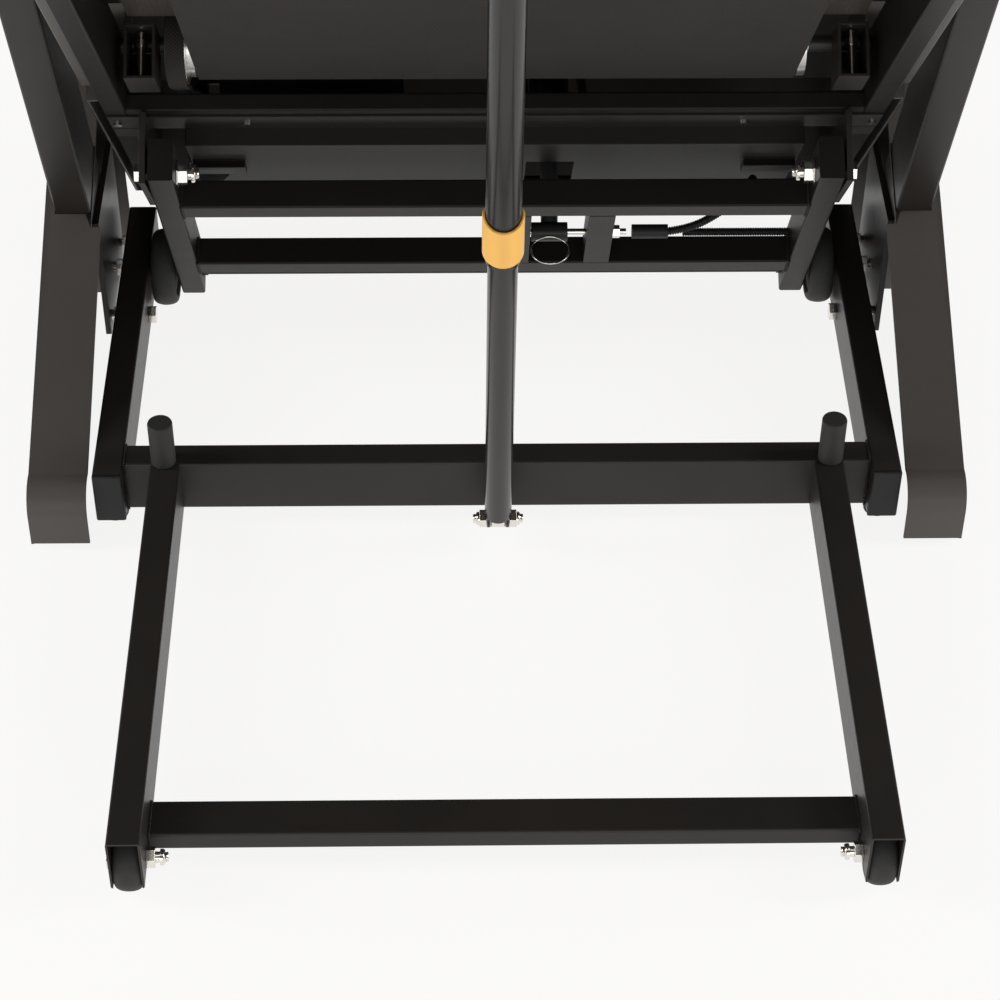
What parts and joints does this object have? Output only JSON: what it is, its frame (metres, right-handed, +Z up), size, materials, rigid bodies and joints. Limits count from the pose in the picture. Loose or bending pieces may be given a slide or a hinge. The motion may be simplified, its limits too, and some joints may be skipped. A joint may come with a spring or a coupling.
{
  "type": "folding treadmill",
  "caption": "Folding treadmill standing folded: wheeled base frame, leaning uprights, deck with belt, gas spring and powered lift frame.",
  "frame": {"origin": "centre of the bounding box on the floor, machine folded", "axes": "+Z up, +Y to the front of the machine (motor hood), +X to the right of someone who faces the front"},
  "size_m": [0.9938, 1.54, 1.6392],
  "materials": {
    "black_steel": "satin powder coat",
    "grey_plastic": "fine grain",
    "pan_plastic": "satin moulded",
    "black_plastic": "moulded",
    "rubber": "matte",
    "foam": "closed-cell foam",
    "wheel_black": "moulded",
    "chrome": "zinc plated, bright",
    "black_gloss": "gloss paint",
    "gold": "orange-gold satin",
    "motor_black": "satin",
    "bright_steel": "turned",
    "belt": "woven underside",
    "board": "phenolic faced",
    "screen": "dark window",
    "button_green": "satin",
    "button_red": "satin"
  },
  "bodies": {
    "base": {"runner_left": "black_steel", "runner_right": "black_steel", "side_tube_left": "black_steel", "side_tube_right": "black_steel", "middle_tube": "black_steel", "rear_tube": "black_steel", "front_tube": "black_steel", "tube_caps": "black_plastic", "rubber_buffers": "rubber", "base_bolts": "chrome", "spring_lug": "black_steel", "spring_lower_bolt": "chrome", "upright_left": "black_steel", "upright_right": "black_steel", "upright_plates": "black_steel", "side_cover_left": "grey_plastic", "side_cover_right": "grey_plastic", "handrails": "black_steel", "handrail_grips": "foam", "console_beam": "black_steel", "console_housing": "grey_plastic", "console_screen": "screen"},
    "rear_wheel_left": {"rear_wheel_left": "wheel_black"},
    "rear_wheel_right": {"rear_wheel_right": "wheel_black"},
    "front_wheel_left": {"front_wheel_left": "wheel_black"},
    "front_wheel_right": {"front_wheel_right": "wheel_black"},
    "start_button": {"start_button": "button_green"},
    "stop_button": {"stop_button": "button_red"},
    "safety_key": {"safety_key": "button_red"},
    "deck": {"deck_rail_left": "black_steel", "deck_rail_right": "black_steel", "deck_cross_tubes": "black_steel", "running_belt": "belt", "running_board": "board", "foot_rail_left": "grey_plastic", "foot_rail_right": "grey_plastic", "rear_legs": "grey_plastic", "pan_flange": "black_steel", "pan_screws": "chrome", "motor_pan": "pan_plastic", "hinge_plates": "black_steel", "deck_bolts": "chrome", "cushion_brackets": "black_steel", "cushion_bolts": "chrome", "drive_motor": "motor_black", "drive_belt": "belt", "motor_hood": "grey_plastic", "power_inlet": "black_plastic"},
    "front_roller": {"front_roller": "bright_steel"},
    "rear_roller": {"rear_roller": "bright_steel"},
    "lift_frame": {"lift_arms": "black_steel", "lift_bars": "black_steel", "clevis_pin": "chrome", "sensor_plug": "black_plastic", "wire_conduit": "black_plastic"},
    "spring_lower": {"spring_lower_tube": "black_gloss"},
    "spring_upper": {"spring_upper_tube": "black_gloss"},
    "latch_collar": {"latch_collar": "gold"},
    "actuator_body": {"actuator_body": "motor_black"},
    "actuator_rod": {"actuator_rod": "bright_steel"}
  },
  "joints": [
    {"name": "fold", "type": "hinge", "parent": "base", "child": "deck", "pos_m": [0, 0.55204, 0.062], "axis": [1, 0, 0], "range_deg": [0, 49]},
    {"name": "incline", "type": "hinge", "parent": "deck", "child": "lift_frame", "pos_m": [0, 0.39791, 0.29934], "axis": [1, 0, 0], "range_deg": [-21, 0]},
    {"name": "actuator_swing", "type": "hinge", "parent": "deck", "child": "actuator_body", "pos_m": [0.058, 0.60835, 0.3097], "axis": [1, 0, 0], "range_deg": [-6.6, 0.5]},
    {"name": "actuator_stroke", "type": "slide", "parent": "actuator_body", "child": "actuator_rod", "axis": [0, -0.675, -0.7378], "range_m": [-0.001, 0.0535]},
    {"name": "spring_swing", "type": "hinge", "parent": "base", "child": "spring_lower", "pos_m": [0, 0.17204, 0.038], "axis": [1, 0, 0], "range_deg": [-0.5, 68]},
    {"name": "spring_stroke", "type": "slide", "parent": "spring_lower", "child": "spring_upper", "axis": [0, -0.2334, 0.9724], "range_m": [-0.2348, 0.001]},
    {"name": "collar_release", "type": "slide", "parent": "spring_upper", "child": "latch_collar", "axis": [0, -0.2334, 0.9724], "range_m": [0, 0.02]},
    {"name": "rear_wheel_spin_left", "type": "hinge", "parent": "base", "child": "rear_wheel_left", "pos_m": [-0.333, -0.25296, 0.03], "axis": [1, 0, 0], "continuous": true},
    {"name": "front_wheel_spin_left", "type": "hinge", "parent": "base", "child": "front_wheel_left", "pos_m": [-0.359, 0.55204, 0.062], "axis": [1, 0, 0], "continuous": true},
    {"name": "rear_wheel_spin_right", "type": "hinge", "parent": "base", "child": "rear_wheel_right", "pos_m": [0.333, -0.25296, 0.03], "axis": [1, 0, 0], "continuous": true},
    {"name": "front_wheel_spin_right", "type": "hinge", "parent": "base", "child": "front_wheel_right", "pos_m": [0.359, 0.55204, 0.062], "axis": [1, 0, 0], "continuous": true},
    {"name": "front_roller_spin", "type": "hinge", "parent": "deck", "child": "front_roller", "pos_m": [0, 0.43653, 0.42534], "axis": [1, 0, 0], "continuous": true},
    {"name": "rear_roller_spin", "type": "hinge", "parent": "deck", "child": "rear_roller", "pos_m": [0, -0.56724, 1.58005], "axis": [1, 0, 0], "continuous": true},
    {"name": "start_press", "type": "slide", "parent": "base", "child": "start_button", "axis": [0, 0.6157, -0.788], "range_m": [0, 0.002], "stiffness_N_per_m": 400},
    {"name": "stop_press", "type": "slide", "parent": "base", "child": "stop_button", "axis": [0, 0.6157, -0.788], "range_m": [0, 0.002], "stiffness_N_per_m": 400},
    {"name": "key_pull", "type": "slide", "parent": "base", "child": "safety_key", "axis": [0, -0.6157, 0.788], "range_m": [0, 0.03]}
  ],
  "couplings": [
    {"joint": "actuator_swing", "follows": "incline", "ratio": 0.29038},
    {"joint": "actuator_stroke", "follows": "incline", "m_per_rad": -0.14051},
    {"joint": "spring_swing", "follows": "fold", "ratio": 1.374},
    {"joint": "spring_stroke", "follows": "fold", "m_per_rad": -0.27109},
    {"joint": "rear_roller_spin", "follows": "front_roller_spin", "ratio": 1}
  ]
}
